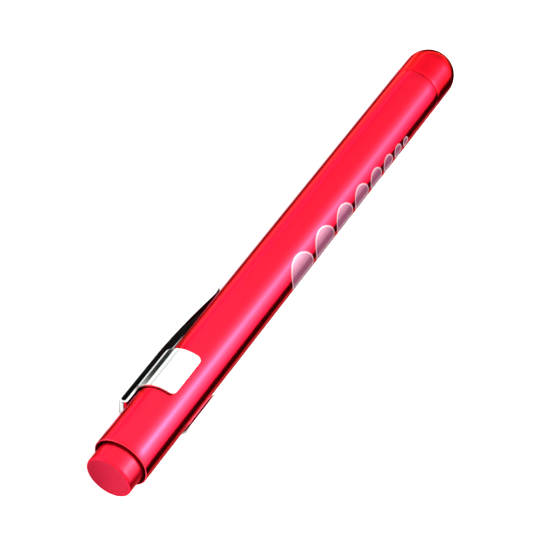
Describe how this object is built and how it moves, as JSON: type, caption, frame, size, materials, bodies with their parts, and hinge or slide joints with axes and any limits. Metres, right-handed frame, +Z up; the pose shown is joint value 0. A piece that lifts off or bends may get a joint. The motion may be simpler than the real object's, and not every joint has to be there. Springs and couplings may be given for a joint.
{
  "type": "medical penlight",
  "caption": "Slim round pocket torch with a domed nose, a sprung push button in its tail and a folded sheet-metal pocket clip.",
  "frame": {"origin": "centre of the footprint, on the surface the pen lies on", "axes": "+X along the barrel from the push button to the domed nose; +Z up; the clip's arm leans to the +Y side and down, so that the pen rests on the clip band and the arm's lower edge"},
  "size_m": [0.1468, 0.0149, 0.0136],
  "materials": {
    "red_aluminium": "red anodised, satin",
    "gauge_ink": "pale printed ink",
    "clip_steel": "brushed stainless spring steel",
    "white_plastic": "white moulded",
    "black_plastic": "black moulded",
    "brass": "turned, bright",
    "spring_wire": "nickel-plated spring wire",
    "ring_steel": "plain steel",
    "seal_rubber": "matt black",
    "led_clear": "clear epoxy",
    "led_leads": "tinned",
    "board_green": "green solder mask",
    "chip_black": "black chip body",
    "cell_steel": "nickel-plated steel",
    "cell_filling": "pressed powder",
    "cell_sleeve": "blue shrink sleeve",
    "cell_washer": "brown fibre"
  },
  "bodies": {
    "barrel": {"barrel": "red_aluminium", "clip_band": "clip_steel", "switch_housing": "black_plastic", "switch_base": "brass", "lock_ring": "ring_steel", "return_spring": "spring_wire", "battery_spring": "spring_wire"},
    "button": {"push_button": "red_aluminium", "button_plunger": "white_plastic", "ratchet_rotor": "white_plastic", "moving_contact": "brass"},
    "clip_arm": {"clip_arm": "clip_steel"},
    "cells": {"rear_cell_can": "cell_steel", "rear_cell_core": "cell_filling", "rear_cell_sleeve": "cell_sleeve", "rear_cell_washer": "cell_washer", "rear_cell_cap": "cell_steel", "front_cell_can": "cell_steel", "front_cell_core": "cell_filling", "front_cell_sleeve": "cell_sleeve", "front_cell_washer": "cell_washer", "front_cell_cap": "cell_steel"},
    "head_seal": {"head_seal": "seal_rubber"},
    "head": {"head_cap": "red_aluminium", "led_holder": "white_plastic", "led_body": "led_clear", "led_anode_lead": "led_leads", "led_cathode_lead": "led_leads", "circuit_board": "board_green", "resistor": "chip_black", "contact_rivet": "brass", "board_ring": "ring_steel"}
  },
  "joints": [
    {"name": "button_press", "type": "slide", "parent": "barrel", "child": "button", "axis": [1, 0, 0], "range_m": [0, 0.0022], "stiffness_N_per_m": 900, "springref_m": -0.001, "deforming": ["return_spring"]},
    {"name": "clip_flex", "type": "hinge", "parent": "barrel", "child": "clip_arm", "pos_m": [-0.05588, 0.00528, 0.00229], "axis": [0, 0.6294, 0.7771], "range_deg": [0, 7], "stiffness_Nm_per_rad": 1.4, "springref_deg": -1.15},
    {"name": "head_travel", "type": "slide", "parent": "barrel", "child": "head_seal", "axis": [1, 0, 0], "range_m": [0, 0.005]},
    {"name": "head_unscrew", "type": "hinge", "parent": "head_seal", "child": "head", "pos_m": [0.06118, -0.00047, 0.00695], "axis": [1, 0, 0], "range_deg": [0, 1440]},
    {"name": "cells_follow", "type": "slide", "parent": "barrel", "child": "cells", "axis": [1, 0, 0], "range_m": [0, 0.005], "deforming": ["battery_spring"]}
  ],
  "couplings": [
    {"joint": "head_unscrew", "follows": "head_travel", "rad_per_m": 5026.5},
    {"joint": "cells_follow", "follows": "head_travel", "ratio": 1}
  ]
}
